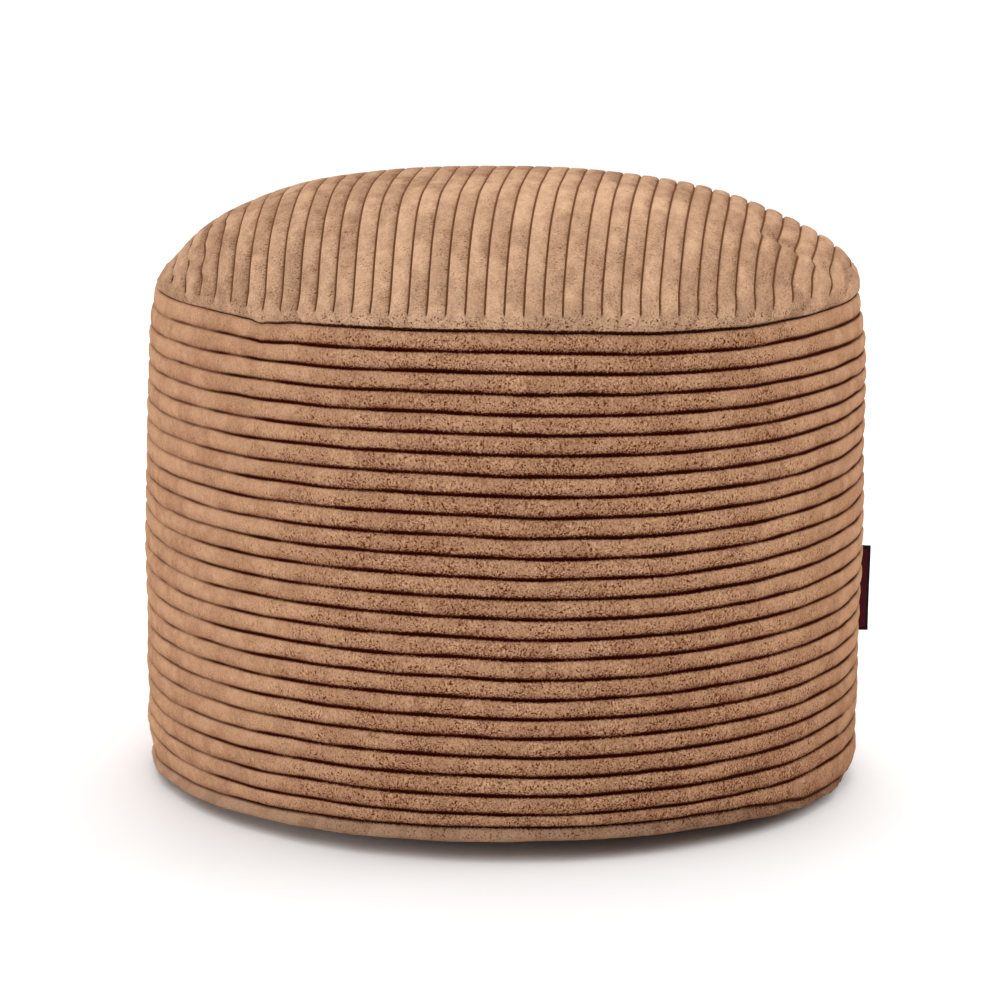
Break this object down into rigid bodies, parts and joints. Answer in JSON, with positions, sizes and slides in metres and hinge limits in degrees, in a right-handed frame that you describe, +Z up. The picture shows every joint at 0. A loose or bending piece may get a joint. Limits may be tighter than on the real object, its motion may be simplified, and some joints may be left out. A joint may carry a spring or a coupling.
{
  "type": "bean bag footstool",
  "caption": "Round filled footstool in wide-wale corduroy, with a domed top panel, a flat base and a blank ribbon tab in its side seam.",
  "frame": {"origin": "centre of the flat base, on the surface the footstool stands on", "axes": "+Z up through the dome, -Y towards the viewer (the front), +X towards the ribbon tab in the side seam"},
  "size_m": [0.5071, 0.4992, 0.4135],
  "materials": {
    "side_corduroy": "matte cut-pile corduroy",
    "top_corduroy": "matte cut-pile corduroy",
    "base_corduroy": "matte cut-pile corduroy",
    "ribbon": "woven satin ribbon"
  },
  "bodies": {
    "root": {"cushion_body": "side_corduroy", "top_panel": "top_corduroy", "base_panel": "base_corduroy", "side_tab": "ribbon"}
  },
  "joints": []
}
